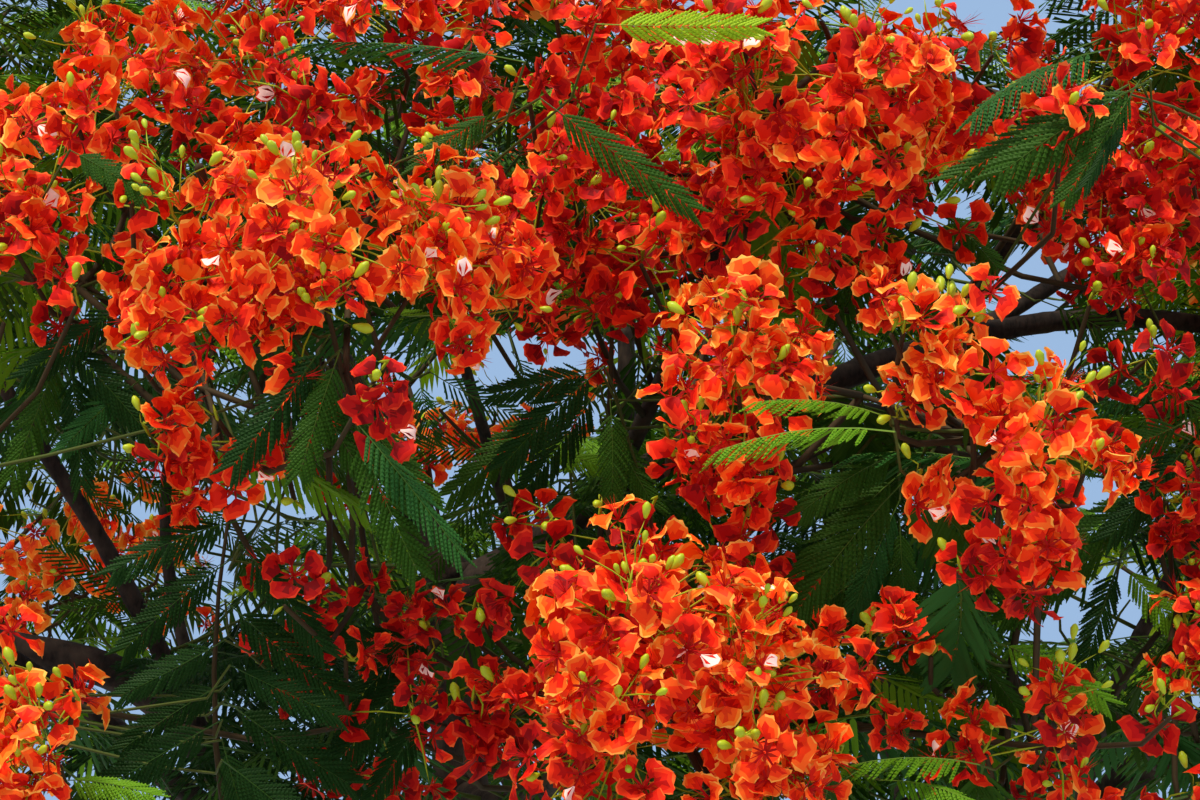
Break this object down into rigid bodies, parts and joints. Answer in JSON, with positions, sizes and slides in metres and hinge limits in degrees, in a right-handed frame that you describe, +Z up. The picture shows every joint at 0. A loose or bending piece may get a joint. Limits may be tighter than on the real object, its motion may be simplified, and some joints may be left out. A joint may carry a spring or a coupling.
{
  "type": "royal poinciana tree",
  "caption": "Small flowering tree: a flared trunk forks into arching boughs under a wide umbrella crown of feathery leaves and orange-red blossom.",
  "frame": {"origin": "centre of the trunk's flat foot, at ground level", "axes": "+Z up; the pictured side of the crown faces -Y"},
  "size_m": [6.161, 5.89, 5.5966],
  "materials": {
    "bark": "rough bark",
    "bough_bark": "finely cracked bark",
    "foliage": "leaves and blossom"
  },
  "bodies": {
    "root": {"trunk": "bark", "bough_back_150": "bough_bark", "bough_back_30": "bough_bark", "bough_back_90": "bough_bark", "bough_front": "bough_bark", "bough_left": "bough_bark", "bough_right": "bough_bark", "leader": "bough_bark", "limb_back_105": "bough_bark", "limb_back_135": "bough_bark", "limb_back_15": "bough_bark", "limb_back_165": "bough_bark", "limb_back_45": "bough_bark", "limb_back_75": "bough_bark", "limb_fork_out": "bough_bark", "limb_fork_up": "bough_bark", "limb_front_left": "bough_bark", "limb_front_low": "bough_bark", "limb_front_right": "bough_bark", "limb_left_low": "bough_bark", "limb_left_up": "bough_bark", "limb_near_right": "bough_bark", "limb_near_top": "bough_bark", "limb_right_low": "bough_bark", "limb_right_rim": "bough_bark", "limb_right_up": "bough_bark", "limb_top_front": "bough_bark", "limb_upper_120": "bough_bark", "limb_upper_180": "bough_bark", "limb_upper_60": "bough_bark", "mass_back_105": "foliage", "mass_back_135": "foliage", "mass_back_15": "foliage", "mass_back_150": "foliage", "mass_back_165": "foliage", "mass_back_30": "foliage", "mass_back_45": "foliage", "mass_back_75": "foliage", "mass_back_90": "foliage", "mass_fork_out": "foliage", "mass_fork_up": "foliage", "mass_front_left": "foliage", "mass_front_low": "foliage", "mass_front_right": "foliage", "mass_leader": "foliage", "mass_left": "foliage", "mass_left_low": "foliage", "mass_left_up": "foliage", "mass_near_right": "foliage", "mass_near_top": "foliage", "mass_right": "foliage", "mass_right_low": "foliage", "mass_right_rim": "foliage", "mass_right_up": "foliage", "mass_top_front": "foliage", "mass_upper_120": "foliage", "mass_upper_180": "foliage", "mass_upper_60": "foliage"}
  },
  "joints": []
}
